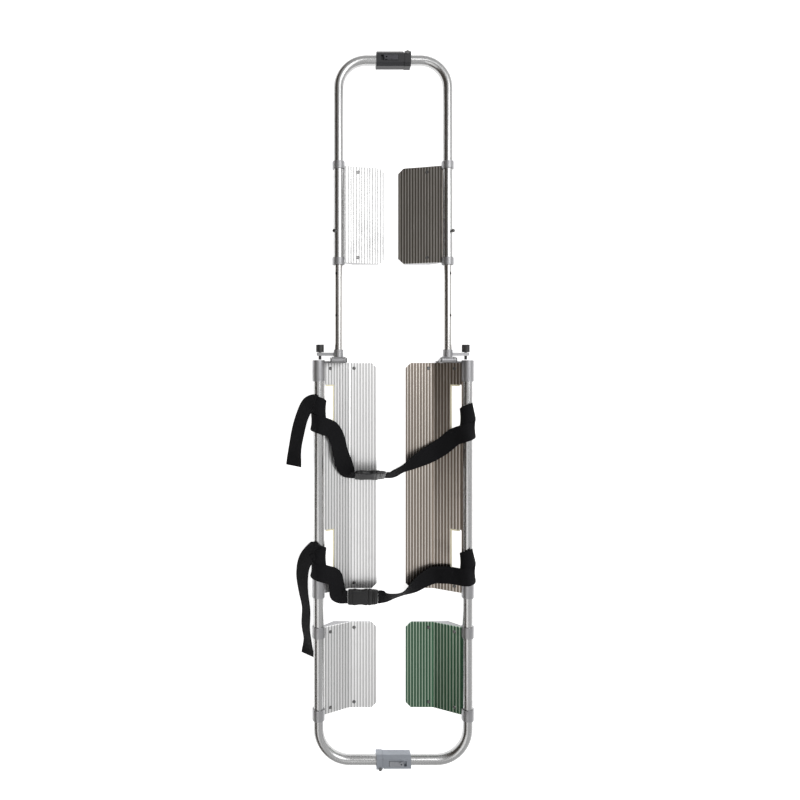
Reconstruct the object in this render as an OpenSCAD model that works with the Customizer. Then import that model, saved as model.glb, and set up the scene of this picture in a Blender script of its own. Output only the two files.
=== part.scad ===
// Folding scoop stretcher: two mirrored aluminium halves that part along the middle,
// a foot section that telescopes and folds back over the torso, and two webbing straps.
// +X is across, +Y runs towards the foot end, +Z is up. Millimetres.

/* [Overall] */
// Length over the two end bars, foot section pulled out
overall_length = 1950; // [1900:5:2350]
// Distance between the centre lines of the torso rails
rail_spacing = 410; // [395:5:500]
// Distance between the centre lines of the leg tubes
leg_spacing = 300; // [290:5:330]
// Height of the tube centre lines above the ground
tube_height = 52; // [48:1:64]

/* [Tubes] */
// Outside diameter of the rails and the foot tubes
tube_d = 28; // [26:0.5:30]
// Wall of the rails
rail_wall = 2; // [1.5:0.1:3]
// Outside diameter of the inner telescoping leg tubes
leg_tube_d = 22; // [18:0.5:22]
// Radial running clearance of the leg tube in the foot tube
slide_clearance = 0.1; // [0.05:0.01:0.1]
// Centre line radius of the head end bends
head_bend_r = 86; // [60:1:110]
// Centre line radius of the foot end bends
foot_bend_r = 76; // [50:1:100]

/* [Panels] */
// Length of each torso panel
torso_panel_length = 635; // [600:5:760]
// Length of each head panel
head_panel_length = 240; // [200:5:260]
// Length of each foot panel
foot_panel_length = 267; // [220:5:300]
// Free gap between a torso panel and its head panel
panel_gap = 96; // [80:1:120]
// Gap left down the middle between the torso panels
middle_gap = 82; // [60:1:100]
// Gap left down the middle between the foot panels
foot_middle_gap = 38; // [24:1:60]
// Thickness of the panel sheet
sheet = 2.8; // [2:0.1:3.5]
// Distance from one rib to the next
rib_pitch = 7.6; // [6:0.1:10]
// Height of the ribs
rib_height = 1.2; // [0.6:0.1:1.6]

/* [Hand holes] */
// Length of each hand hole
grip_length = 126; // [110:1:140]
// Width of each hand hole, measured across
grip_width = 28; // [22:1:32]

/* [Fold] */
// Height of the fold axis above the tube centre lines
fold_rise = 12; // [12:0.5:18]
// Radius of the fold pins
fold_pin_r = 4; // [3:0.25:5]
// Radius of the fold lock bolts
lock_bolt_r = 4; // [3:0.25:4.5]
// Radius of the knob on each lock bolt
knob_r = 11; // [8:0.5:11]

/* [Telescope] */
// Distance from one lock hole to the next in the leg tubes
hole_pitch = 115; // [90:1:116]
// Radius of the spring buttons
button_r = 3.5; // [2.5:0.25:4]

/* [Couplers] */
// Length of each coupler over its two halves
coupler_length = 94; // [88:1:110]
// Radius of the coupler hinge pins
coupler_pin_r = 3; // [2.5:0.25:3.5]

/* [Straps] */
// Width of the webbing
strap_width = 50; // [38:1:50]
// Thickness of the webbing
strap_thickness = 1.8; // [1.2:0.1:2]

/* [Hidden] */

$fn = 64;
eps = 0.02;
fit = 0.05;

tube_r = tube_d / 2;
rail_bore_r = tube_r - rail_wall;
leg_r = leg_tube_d / 2;
foot_bore_r = leg_r + slide_clearance;
rail_x = rail_spacing / 2;
leg_x = leg_spacing / 2;
bar_y = overall_length / 2 - tube_r;

// Stations along the length
head_panel_bottom = -bar_y + head_bend_r + 33;
head_panel_top = head_panel_bottom + head_panel_length;
torso_bottom = head_panel_top + panel_gap;
torso_top = torso_bottom + torso_panel_length;
fold_y = torso_top + 9;
fold_height = tube_height + fold_rise;
foot_panel_top = bar_y - foot_bend_r - 211;
foot_panel_bottom = foot_panel_top - foot_panel_length;
button_y = foot_panel_bottom + 83;

// Lock positions of the telescope: as many steps as the tubes leave room for
arm_end = fold_y + 28;
room_below = foot_panel_bottom - 6 - arm_end - 5;
room_above = bar_y - foot_bend_r - button_y - 38;
hole_steps = floor(min(room_below, room_above) / hole_pitch + 0.001);

// Panel section
lip_gap = 0.4;
lip_r = tube_r + lip_gap;
lip_outer_r = lip_r + sheet - 0.2;
flat_z = 4;
fold_line_x = middle_gap / 2 + 76;
foot_flat_z = tube_height - 41;
rib_w = 2.6;
corner = 14;
collar_r = tube_r + 3;
web = 4;
ledge = 20;
ledge_t = 3.4;
torso_collar = 58;
head_collar = 30;
foot_collar = 20;
collar_overhang = 8;

// Hand holes
grip_upper_y = torso_top - 123;
grip_lower_y = torso_bottom + 111;
grip_outer_x = rail_x - 15.6;
grip_inner_x = grip_outer_x - grip_width;
liner = 4;

// Fold parts
lug_w = 5;
knuckle_half = tube_r - 0.5;
lug_gap = 0.5;
lug_r = 9;
arm_y = fold_y + 11;
arm_t = 9;
bolt_x = rail_x - 4;
bolt_z = tube_height - 6;
button_angle = 35;
button_travel = 5;

// Coupler, in its own frame: the fork is on the -X side, the body on the +X side
c_half = coupler_length / 2;
c_hy = 20;
c_hz = 19;
c_chamfer = 8;
c_split = -c_half + 17;
c_gap = 0.5;
pin_dx = c_split - 7;
pin_dy = -14;
knuckle_r = 7;
tongue_hz = 7.9;
tongue_len = 42;
pocket_clear = 0.4;
spigot = 24;
latch_len = 39;
latch_w = 14;
latch_travel = 7;
latch_x0 = -12;

// ---------- helpers ----------
module along_y(y0, y1, r) {
  translate([0, y0, 0]) rotate([-90, 0, 0]) cylinder(h = y1 - y0, r = r);
}
module along_x(x0, x1, r) {
  translate([x0, 0, 0]) rotate([0, 90, 0]) cylinder(h = x1 - x0, r = r);
}
// Extrudes an X-Z outline from y0 to y1
module slab(y0, y1) {
  translate([0, y1, 0]) rotate([90, 0, 0]) linear_extrude(y1 - y0) children();
}
// Extrudes a Y-Z outline from x0 to x1
module plate(x0, x1) {
  translate([x0, 0, 0]) rotate([90, 0, 90]) linear_extrude(x1 - x0) children();
}
module box(x0, x1, y0, y1, z0, z1) {
  translate([x0, y0, z0]) cube([x1 - x0, y1 - y0, z1 - z0]);
}
module mirrored() { mirror([1, 0, 0]) children(); }
module at_tube(x) { translate([x, 0, tube_height]) children(); }

// ---------- tubes ----------
// A side tube from y_end to the end bar and round the bend to x_bar
module bent_tube(x, y_end, bend_r, sense, r_out, r_in, x_bar) {
  y_bend = sense * (bar_y - bend_r);
  translate([x, 0, tube_height]) rotate([sense > 0 ? -90 : 90, 0, 0])
    translate([0, 0, sense * y_end]) difference() {
      cylinder(h = sense * (y_bend - y_end), r = r_out);
      translate([0, 0, -1]) cylinder(h = sense * (y_bend - y_end) + 2, r = r_in);
    }
  translate([x - bend_r, y_bend, tube_height]) rotate([0, 0, sense > 0 ? 0 : -90])
    rotate_extrude(angle = 90) translate([bend_r, 0]) difference() {
      circle(r_out);
      circle(r_in);
    }
  translate([x_bar, sense * bar_y, tube_height]) rotate([0, 90, 0]) difference() {
    cylinder(h = x - bend_r - x_bar, r = r_out);
    translate([0, 0, -1]) cylinder(h = x - bend_r - x_bar + 2, r = r_in);
  }
}
module rail() {
  color("silver") bent_tube(rail_x, torso_top, head_bend_r, -1, tube_r, rail_bore_r, c_half + fit);
}
module foot_tube() {
  color("silver") difference() {
    bent_tube(leg_x, foot_panel_bottom - 6, foot_bend_r, 1, tube_r, foot_bore_r, c_half + fit);
    button_hole(button_y, button_r + fit);
  }
}
// A radial hole through the upper, outer side of a leg tube or foot tube
module button_hole(y, r) {
  translate([leg_x, y, tube_height]) rotate([0, button_angle, 0]) cylinder(h = tube_r + 5, r = r);
}
module leg_tube() {
  color("gainsboro") difference() {
    at_tube(leg_x) difference() {
      along_y(fold_y + 16, button_y + 33, leg_r);
      along_y(fold_y + 15, button_y + 34, leg_r - 1.8);
    }
    for (i = [0 : hole_steps]) button_hole(button_y - i * hole_pitch, button_r + fit);
  }
}
module button() {
  color("gray") translate([leg_x, button_y, tube_height]) rotate([0, button_angle, 0])
    translate([0, 0, leg_r + 0.4]) {
      cylinder(h = tube_r - leg_r + 7.5, r = button_r - fit);
      translate([0, 0, tube_r - leg_r + 6]) cylinder(h = 3, r1 = button_r + 1.5, r2 = button_r + 0.8);
    }
}

// ---------- panels ----------
function arc(cx, cz, r, a0, a1, n) =
  [for (i = [0 : n]) let (a = a0 + (a1 - a0) * i / n) [cx + r * cos(a), cz + r * sin(a)]];
// Points of the ribbed top from x0 down to x1, on a line of height z0 to z1
function ribbed(x0, z0, x1, z1) =
  let (n = floor((x0 - x1) / rib_pitch), s = (z1 - z0) / (x1 - x0), k = (x0 - x1) / n)
  [for (i = [0 : n - 1]) let (c = x0 - (i + 0.5) * k) for (q = [0 : 3])
    let (x = c + (q < 2 ? rib_w / 2 : -rib_w / 2), up = (q == 1 || q == 2) ? rib_height : 0)
    [x, z0 + (x - x0) * s + up]];
// Section of a panel: a lip round the tube, a slope, and a flat inner part
module panel_section(x, inner_x, bend_x, low_z) {
  top_start = [x + lip_outer_r * cos(205), tube_height + lip_outer_r * sin(205)];
  polygon(concat(
    arc(x, tube_height, lip_outer_r, 168, 205, 4),
    ribbed(top_start[0] - 1, top_start[1] - 0.5, bend_x, low_z + sheet),
    inner_x < bend_x - 1 ? ribbed(bend_x - 0.5, low_z + sheet, inner_x + 1, low_z + sheet) : [],
    [[inner_x, low_z + sheet], [inner_x, low_z], [bend_x, low_z]],
    arc(x, tube_height, lip_outer_r, 223, 288, 7),
    arc(x, tube_height, lip_r, 288, 168, 12)
  ));
}
module panel(x, inner_x, bend_x, low_z, y0, y1, collar) {
  difference() {
    slab(y0, y1) panel_section(x, inner_x, bend_x, low_z);
    for (e = [[y0, 1], [y1, -1]]) {
      translate([inner_x, e[0], -1]) linear_extrude(tube_height)
        polygon([[-5, -5 * e[1]], [corner, -5 * e[1]], [corner, 0], [0, e[1] * corner], [-5, e[1] * corner]]);
    }
    at_tube(x) along_y(y0 - 1, y0 + collar - collar_overhang + 0.3, collar_r + 0.2);
    at_tube(x) along_y(y1 - collar + collar_overhang - 0.3, y1 + 1, collar_r + 0.2);
    children();
  }
}
module torso_panel() {
  color("lightgray")
    panel(rail_x, middle_gap / 2, fold_line_x, flat_z, torso_bottom, torso_top, torso_collar) {
      for (y = [grip_upper_y, grip_lower_y]) grip_cut(y);
      rivet_cuts(torso_rivets);
    }
}
module head_panel() {
  color("lightgray") panel(rail_x, middle_gap / 2, fold_line_x, flat_z,
    head_panel_bottom, head_panel_top, head_collar) rivet_cuts(head_rivets);
}
module foot_panel() {
  color("lightgray") panel(leg_x, foot_middle_gap / 2, foot_middle_gap / 2 + 0.5, foot_flat_z,
    foot_panel_bottom, foot_panel_top, foot_collar) rivet_cuts(foot_panel_rivets);
}
module grip_cut(y) {
  box(grip_inner_x, grip_outer_x, y - grip_length / 2, y + grip_length / 2, -1, tube_height);
  at_tube(rail_x) difference() {
    along_y(y - grip_length / 2, y + grip_length / 2, lip_outer_r + 4.5);
    along_y(y - grip_length, y + grip_length, lip_outer_r + eps);
    box(-20, 30, y - grip_length, y + grip_length, 0, 30);
    box(-3, 30, y - grip_length, y + grip_length, -30, 30);
  }
}

// Height of the panel top and its slope at x
slope_x0 = rail_x + lip_outer_r * cos(205) - 1;
slope_z0 = tube_height + lip_outer_r * sin(205) - 0.5;
torso_slope = (slope_z0 - flat_z - sheet) / (slope_x0 - fold_line_x);
function torso_z(x) = x > fold_line_x ? flat_z + sheet + (x - fold_line_x) * torso_slope : flat_z + sheet;
foot_x0 = leg_x + lip_outer_r * cos(205) - 1;
foot_slope = (slope_z0 - foot_flat_z - sheet) / (foot_x0 - foot_middle_gap / 2 - 0.5);
function foot_z(x) = foot_flat_z + sheet + (x - foot_middle_gap / 2 - 0.5) * foot_slope;

// ---------- rivets ----------
rivet_r = 2.4;
rivet_in = 15;
slope_rivet_x = rail_x - 33;
flat_rivet_x = fold_line_x - 12;
foot_rivet_x = leg_x - 54;
torso_rivets = [for (y = [torso_bottom + rivet_in, torso_top - rivet_in]) for (x = [slope_rivet_x, flat_rivet_x])
  [x, y, torso_z(x), x > fold_line_x ? atan(torso_slope) : 0]];
head_rivets = [for (y = [head_panel_bottom + rivet_in, head_panel_top - rivet_in])
  for (x = [slope_rivet_x, flat_rivet_x]) [x, y, torso_z(x), x > fold_line_x ? atan(torso_slope) : 0]];
foot_panel_rivets = [for (y = [foot_panel_bottom + rivet_in, foot_panel_top - rivet_in])
  [foot_rivet_x, y, foot_z(foot_rivet_x), atan(foot_slope)]];
module at_rivet(p) { translate([p[0], p[1], p[2]]) rotate([0, -p[3], 0]) children(); }
module rivet_cuts(list) {
  for (p = list) at_rivet(p) {
    translate([0, 0, -12]) cylinder(h = 20, r = rivet_r + fit);
    cylinder(h = 3, r = 2 * rivet_r + 0.6);
  }
}
module rivet(p) {
  at_rivet(p) {
    translate([0, 0, -sheet - ledge_t - 0.2]) cylinder(h = sheet + ledge_t + 0.4, r = rivet_r);
    translate([0, 0, 0.05]) cylinder(h = 1.5, r1 = 2 * rivet_r, r2 = 1.4 * rivet_r);
  }
}
module rivets() { color("dimgray") for (p = concat(torso_rivets, head_rivets)) rivet(p); }
module foot_rivets() { color("dimgray") for (p = foot_panel_rivets) rivet(p); }

// ---------- brackets ----------
// Underside of the torso and head panels
slope_low = [rail_x + lip_outer_r * cos(223), tube_height + lip_outer_r * sin(223)];
// One end bracket: a collar on the tube and a gusset under the panel end at y, facing sense
module bracket(x, inner_x, bend_x, low_z, base_z, y, sense, collar) {
  low = [x + lip_outer_r * cos(223), tube_height + lip_outer_r * sin(223)];
  in_x = inner_x + corner + 3;
  y_face = min(y, y - sense * web);
  y_ledge = min(y, y - sense * ledge);
  y_collar = min(y + sense * collar_overhang, y - sense * (collar - collar_overhang));
  mid_x = max(bend_x, in_x + 1);
  difference() {
    union() {
      slab(y_face, y_face + web) polygon([low, [mid_x, low_z + (mid_x - bend_x) * (low[1] - low_z) / (low[0] - bend_x)],
        [in_x, bend_x > in_x ? low_z : low_z + (in_x - bend_x) * (low[1] - low_z) / (low[0] - bend_x)],
        [in_x, base_z], [x - 42, base_z], [x - 5, tube_height - tube_r - 1.6]]);
      slab(y_ledge, y_ledge + ledge) ledge_outline(low, in_x, mid_x, bend_x, low_z);
      at_tube(x) along_y(y_collar, y_collar + collar, collar_r);
    }
    at_tube(x) along_y(y - 100, y + 100, tube_r + fit);
    children();
  }
}
module ledge_outline(low, in_x, mid_x, bend_x, low_z) {
  k = (low[1] - low_z) / (low[0] - bend_x);
  zin = bend_x > in_x ? low_z : low_z + (in_x - bend_x) * k;
  polygon([low, [mid_x, low_z + (mid_x - bend_x) * k], [in_x, zin], [in_x, zin - ledge_t],
    [mid_x, low_z + (mid_x - bend_x) * k - ledge_t], [low[0] + 1, low[1] - ledge_t]]);
}
module rail_bracket(y, sense, collar, holes) {
  color("darkgray") bracket(rail_x, middle_gap / 2, fold_line_x, flat_z, 0, y, sense, collar) {
    rivet_cuts(holes);
    children();
  }
}
module foot_bracket(y, sense) {
  color("darkgray")
    bracket(leg_x, foot_middle_gap / 2, foot_middle_gap / 2 + 0.5, foot_flat_z, 0, y, sense, foot_collar)
      rivet_cuts(foot_panel_rivets);
}
module hinge_bracket() {
  color("darkgray") difference() {
    union() {
      rail_bracket(torso_top, 1, torso_collar, torso_rivets);
      // End cap over the rail, which is the strike of the lock bolt
      at_tube(rail_x) along_y(torso_top + 0.2, torso_top + collar_overhang, collar_r);
      // Cross web beyond the panel end that carries the lugs
      slab(torso_top + 0.2, torso_top + 5) polygon([[rail_x - 6, tube_height - tube_r],
        [rail_x - 42, 0], [leg_x - 24, 0], [leg_x - 24, 14], [rail_x - 15, tube_height]]);
      for (x = [leg_x - knuckle_half - lug_gap - lug_w, leg_x + knuckle_half + lug_gap])
        plate(x, x + lug_w) lug_outline();
    }
    translate([0, fold_y, fold_height]) along_x(leg_x - 40, leg_x + 40, fold_pin_r + fit);
    translate([bolt_x, 0, bolt_z]) along_y(torso_top - 1, torso_top + 20, lock_bolt_r + fit);
  }
}
module lug_outline() {
  translate([fold_y, fold_height]) circle(lug_r);
  polygon([[torso_top + 0.2, 1], [torso_top + 5, 1], [fold_y + lug_r - 0.3, fold_height - 2],
    [fold_y, fold_height], [torso_top + 0.2, fold_height + 2]]);
}

// ---------- hand hole liners ----------
module grip(y) {
  top = 1.2;
  y0 = y - grip_length / 2 + fit;
  y1 = y + grip_length / 2 - fit;
  x0 = grip_inner_x + fit;
  x1 = grip_outer_x - 4;
  color("ivory") difference() {
    slab(y0, y1) polygon([[x0, torso_z(x0) + top], [x1, torso_z(x1) + top],
      [x1, torso_z(x1) - sheet - 2 * top], [x0, torso_z(x0) - sheet - 2 * top]]);
    box(x0 + liner, x1 + 10, y0 + liner, y1 - liner, 0, tube_height + 9);
  }
}

// ---------- fold ----------
module hinge_pin() {
  x0 = leg_x - knuckle_half - lug_gap - lug_w - 1.5;
  x1 = leg_x + knuckle_half + lug_gap + lug_w + 1.5;
  color("gray") translate([0, fold_y, fold_height]) {
    along_x(x0, x1, fold_pin_r);
    along_x(x0 - 2.5, x0, fold_pin_r + 2.5);
    along_x(x1, x1 + 2.5, fold_pin_r + 2.5);
  }
}
module hinge_arm() {
  color("dimgray") difference() {
    union() {
      translate([0, fold_y, fold_height]) along_x(leg_x - knuckle_half, leg_x + knuckle_half, 7.5);
      at_tube(leg_x) along_y(fold_y + 5, arm_end, knuckle_half);
      box(leg_x - 13, leg_x + 13, fold_y, fold_y + 8, fold_height - 7.4, fold_height + 1);
      box(leg_x, bolt_x + 9, arm_y, arm_y + arm_t, bolt_z - 6, bolt_z + 6);
    }
    translate([0, fold_y, fold_height]) along_x(leg_x - 40, leg_x + 40, fold_pin_r + fit);
    at_tube(leg_x) along_y(fold_y + 16 - fit, fold_y + 40, leg_r + fit);
    translate([bolt_x, 0, bolt_z]) along_y(arm_y - 1, arm_y + arm_t + 1, lock_bolt_r + fit);
  }
}
module lock_knob() {
  y0 = torso_top + collar_overhang + 1.5;
  y1 = arm_y + arm_t + 1;
  color("black") translate([bolt_x, 0, bolt_z]) {
    along_y(y0, y1 + 1, lock_bolt_r);
    difference() {
      along_y(y1, y1 + 21, knob_r);
      for (i = [0 : 11]) rotate([0, i * 30, 0]) translate([knob_r + 0.5, 0, 0]) along_y(y1 + 3, y1 + 22, 1.2);
    }
  }
}

// ---------- couplers ----------
module octagon(hy, hz) {
  c = c_chamfer;
  polygon([[-hy + c, -hz], [hy - c, -hz], [hy, -hz + c], [hy, hz - c], [hy - c, hz], [-hy + c, hz],
    [-hy, hz - c], [-hy, -hz + c]]);
}
module coupler_body(bore_r) {
  difference() {
    union() {
      plate(c_split + c_gap, c_half) octagon(c_hy, c_hz);
      along_x(c_half - 1, c_half + spigot, bore_r - fit);
    }
    box(c_split - 1, c_split + tongue_len + 6, -12, 12, -tongue_hz - pocket_clear, tongue_hz + pocket_clear);
    // Relief so that the body can swing about the pin
    translate([0, 0, -c_hz - 1]) linear_extrude(2 * c_hz + 2)
      polygon([[c_split, pin_dy + 2], [c_split + c_gap, pin_dy + 2], [c_split + 5, -c_hy - 1], [c_split, -c_hy - 1]]);
    // Undercut slot of the latch
    box(latch_x0 - 1, latch_x0 + latch_len + latch_travel + 1, -latch_w / 2 - 0.3, latch_w / 2 + 0.3,
      c_hz - 4, c_hz + 1);
    box(latch_x0 - 1, latch_x0 + latch_len + latch_travel + 1, -latch_w / 2 - 2.8, latch_w / 2 + 2.8,
      c_hz - 7, c_hz - 3.5);
  }
}
module coupler_fork(bore_r) {
  difference() {
    union() {
      plate(-c_half, c_split) octagon(c_hy + 1, c_hz + 1);
      along_x(-c_half - spigot, -c_half + 1, bore_r - fit);
    }
    translate([pin_dx, pin_dy, 0]) cylinder(h = 60, r = coupler_pin_r + fit, center = true);
    translate([pin_dx, pin_dy, 0]) cylinder(h = 2 * tongue_hz + 0.6, r = knuckle_r + 0.6, center = true);
    box(pin_dx, c_split + 1, -c_hy - 2, 12.5, -tongue_hz - 0.3, tongue_hz + 0.3);
  }
}
module coupler_tongue() {
  difference() {
    translate([0, 0, -tongue_hz]) linear_extrude(2 * tongue_hz) {
      translate([pin_dx, pin_dy]) circle(knuckle_r);
      polygon([[pin_dx + 0.6, pin_dy + 6.9], [pin_dx + 1, pin_dy - 6.5], [c_split - 1, pin_dy - 5],
        [c_split + 1, -9.8], [c_split + tongue_len - 3, -8.8], [c_split + tongue_len, -5],
        [c_split + tongue_len, 5], [c_split + tongue_len - 3, 8.8], [c_split - 3, 9.8]]);
    }
    translate([pin_dx, pin_dy, 0]) cylinder(h = 60, r = coupler_pin_r + fit, center = true);
  }
}
module coupler_pin() {
  translate([pin_dx, pin_dy, 0]) {
    cylinder(h = 2 * c_hz + 2, r = coupler_pin_r, center = true);
    for (s = [-1, 1]) translate([0, 0, s * (c_hz + 1.8)]) cylinder(h = 1.6, r = coupler_pin_r + 1.6, center = true);
  }
}
module coupler_latch() {
  difference() {
    union() {
      box(latch_x0, latch_x0 + latch_len, -latch_w / 2, latch_w / 2, c_hz - 5, c_hz + 1.5);
      box(latch_x0 + 1, latch_x0 + latch_len - 1, -latch_w / 2 - 2.4, latch_w / 2 + 2.4, c_hz - 6.8, c_hz - 3.9);
      translate([latch_x0 + latch_len - 7, 0, c_hz]) cylinder(h = 3.5, r = 6.4);
    }
    translate([latch_x0 + latch_len - 7, 0, c_hz - 3]) cylinder(h = 10, r = 2.2);
    for (s = [-1, 1]) translate([latch_x0 + 12, 0, c_hz + 1.5]) box(0, 14, s * 5 - 0.5, s * 5 + 0.5, -0.6, 1);
  }
}
module at_head() { translate([0, -bar_y, tube_height]) children(); }
module at_foot() { translate([0, bar_y, tube_height]) rotate([0, 0, 180]) children(); }

// ---------- straps ----------
function unit(v) = v / norm(v);
function ring(p, n, t) = let (w = unit(cross(t, n)), u = unit(cross(w, t)))
  [for (q = [[1, 1], [-1, 1], [-1, -1], [1, -1]])
    p + w * q[0] * strap_width / 2 + u * q[1] * strap_thickness / 2];
// A flat band through a list of [x, y, z, normal x, normal y, normal z]
module band(route) {
  n = len(route);
  p = [for (e = route) [e[0], e[1], e[2]]];
  rings = [for (i = [0 : n - 1])
    each ring(p[i], [route[i][3], route[i][4], route[i][5]], unit(p[min(i + 1, n - 1)] - p[max(i - 1, 0)]))];
  sides = [for (i = [0 : n - 2]) for (k = [0 : 3])
    let (a = 4 * i + k, b = 4 * i + (k + 1) % 4)
    each [[a, b, b + 4], [a, b + 4, a + 4]]];
  polyhedron(rings, concat([[3, 2, 1], [3, 1, 0]], sides,
    [[4 * n - 4, 4 * n - 3, 4 * n - 2], [4 * n - 4, 4 * n - 2, 4 * n - 1]]));
}
strap_r = lip_outer_r + 0.9 + strap_thickness / 2;
// One turn round the rail from angle a0 to a1 while moving from y0 to y1
function wrap(a0, a1, y0, y1) = [for (i = [0 : 15]) let (f = i / 15, a = a0 + (a1 - a0) * f)
  [rail_x + strap_r * cos(a), y0 + (y1 - y0) * f, tube_height + strap_r * sin(a), cos(a), 0, sin(a)]];
sl = [-sin(atan(torso_slope)), 0, cos(atan(torso_slope))];
// A point of a band that lies on the panel at x, y
function on_panel(x, y, lift = 4) = let (n = x > fold_line_x ? sl : [0, 0, 1]) [x, y, torso_z(x) + lift, n[0], n[1], n[2]];

// A Catmull-Rom curve through a route, cut into k steps between points
function smooth(p, k = 4) = let (last = len(p) - 1) concat(
  [for (i = [0 : last - 1]) for (j = [0 : k - 1])
    let (t = j / k, a = p[max(i - 1, 0)], b = p[i], c = p[i + 1], d = p[min(i + 2, last)])
    0.5 * (2 * b + (c - a) * t + (2 * a - 5 * b + 4 * c - d) * t * t
      + (3 * b - a - 3 * c + d) * t * t * t)],
  [p[last]]);
// The run from the top of the rail down to the panel
function wrap_exit(y) = [
  [rail_x - 2, y - 4, tube_height + strap_r + 2.2, -0.2, 0, 1],
  [rail_x - 18, y - 10, tube_height + strap_r - 4, -0.5, 0, 0.9],
  [rail_x - 38, y - 22, torso_z(rail_x - 38) + 14, sl[0], 0, sl[2]]];
module upper_left_strap() {
  y = grip_upper_y + 14;
  color("black") band(smooth(concat(
    [[rail_x + 70, y - 180, 14, 0.4, 0, 0.9], [rail_x + 66, y - 130, 20, 0.65, 0, 0.75],
     [rail_x + 57, y - 80, 24, 0.65, 0, 0.75], [rail_x + 46, y - 40, 34, 0.7, 0, 0.7],
     [rail_x + 32, y - 10, 50, 0.7, 0, 0.7]],
    wrap(40, 400, y, y - 54),
    wrap_exit(y - 54),
    [on_panel(rail_x - 52, y - 102, 12), on_panel(rail_x - 62, y - 142, 17),
     [rail_x - 74, y - 180, torso_z(rail_x - 74) + 24.6, 0, -0.5, 0.8],
     [rail_x - 85, y - 200, upper_buckle[2], 0, -0.87, 0.5],
     [rail_x - 93, y - 202, upper_buckle[2], 0, -0.87, 0.5],
     [rail_x - 101, y - 202, upper_buckle[2], 0, -0.87, 0.5]]
  )));
}
module upper_right_strap() {
  y = grip_upper_y - 6;
  color("black") band(smooth(concat(
    wrap(40, 400, y, y - 54),
    wrap_exit(y - 54),
    [on_panel(rail_x - 62, y - 100, 12), on_panel(rail_x - 95, y - 124, 15),
     [rail_x - 135, y - 143, torso_z(rail_x - 135) + 24.2, -0.1, -0.5, 0.85],
     [rail_x - 175, y - 164, upper_buckle[2], -0.1, -0.8, 0.5],
     [upper_buckle[0] + 104, y - 180, upper_buckle[2], -0.1, -0.85, 0.5],
     [upper_buckle[0] + 90, y - 182, upper_buckle[2], 0, -0.87, 0.5],
     [upper_buckle[0] + 85, y - 182, upper_buckle[2], 0, -0.87, 0.5]]
  )));
}
module lower_left_strap() {
  y = grip_lower_y + 12;
  color("black") band(smooth(concat(
    [[rail_x + 29, y - 306, 18, 0.6, 0, 0.8], [rail_x + 30, y - 268, 23, 0.85, 0, 0.5],
     [rail_x + 36, y - 225, 23, 0.85, 0, 0.5], [rail_x + 35, y - 175, 23, 0.85, 0, 0.5],
     [rail_x + 43, y - 125, 23, 0.8, 0, 0.6], [rail_x + 46, y - 80, 26, 0.7, 0, 0.7],
     [rail_x + 38, y - 36, 40, 0.7, 0, 0.7]],
    wrap(40, 400, y, y - 54),
    [[rail_x - 2, y - 57, tube_height + strap_r + 2.2, -0.2, 0, 1],
     [rail_x - 20, y - 63, tube_height + strap_r - 2, -0.4, 0, 0.92],
     [rail_x - 43, y - 78, torso_z(rail_x - 43) + 19, sl[0], 0, sl[2]],
     on_panel(rail_x - 50, y - 102, 20),
     [rail_x - 53, y - 124, torso_z(rail_x - 53) + 16.86, -0.35, -0.3, 0.9],
     [rail_x - 63, y - 137.4, lower_buckle[2] + 1.6, -0.1, -0.42, 0.9],
     [rail_x - 72, y - 138, lower_buckle[2], 0, -0.42, 0.9],
     [rail_x - 81, y - 138, lower_buckle[2], 0, -0.42, 0.9]]
  )));
}
module lower_right_strap() {
  y = grip_lower_y - 2;
  color("black") band(smooth(concat(
    wrap(40, 400, y, y - 54),
    [[rail_x - 2, y - 56, tube_height + strap_r + 2.2, -0.2, 0, 1],
     [rail_x - 18, y - 58, tube_height + strap_r - 4, -0.5, 0, 0.9],
     [rail_x - 38, y - 60, torso_z(rail_x - 38) + 16, sl[0], 0, sl[2]],
     on_panel(rail_x - 62, y - 62, 16), on_panel(rail_x - 90, y - 68, 16),
     [rail_x - 118, y - 80, torso_z(rail_x - 118) + 21.2, 0, -0.3, 0.9],
     [rail_x - 145, y - 98, torso_z(rail_x - 145) + 25.2, 0, -0.6, 0.8],
     [rail_x - 175, y - 114, lower_buckle[2] + 2, 0, -0.85, 0.5],
     [lower_buckle[0] + 124, y - 122, lower_buckle[2] + 2, 0, -0.8, 0.6],
     [lower_buckle[0] + 105, y - 125, lower_buckle[2], 0, -0.6, 0.8],
     [lower_buckle[0] + 93, y - 124, lower_buckle[2], 0, -0.42, 0.9],
     [lower_buckle[0] + 84.5, y - 124, lower_buckle[2], 0, -0.42, 0.9]]
  )));
}
upper_buckle = [-(rail_x - 101), grip_upper_y - 188, torso_z(rail_x - 101) + 30.2];
lower_buckle = [-(rail_x - 81), grip_lower_y - 126, torso_z(rail_x - 81) + 23.53];
buckle_w = strap_width + 6;
buckle_t = 12;
module at_buckle(p, tilt) { translate(p) rotate([tilt, 0, 0]) children(); }
module buckle_socket() {
  color("black") difference() {
    box(0.5, 56, -buckle_w / 2, buckle_w / 2, -buckle_t / 2, buckle_t / 2);
    box(22, 57, -buckle_w / 2 + 4, buckle_w / 2 - 4, -3.6, 3.6);
  }
}
module buckle_plug() {
  color("black") {
    box(56.6, 84, -buckle_w / 2, buckle_w / 2, -buckle_t / 2, buckle_t / 2);
    for (y = [-14, 0, 14]) box(34, 57, y - 3.5, y + 3.5, -2.2, 2.2);
  }
}

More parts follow.
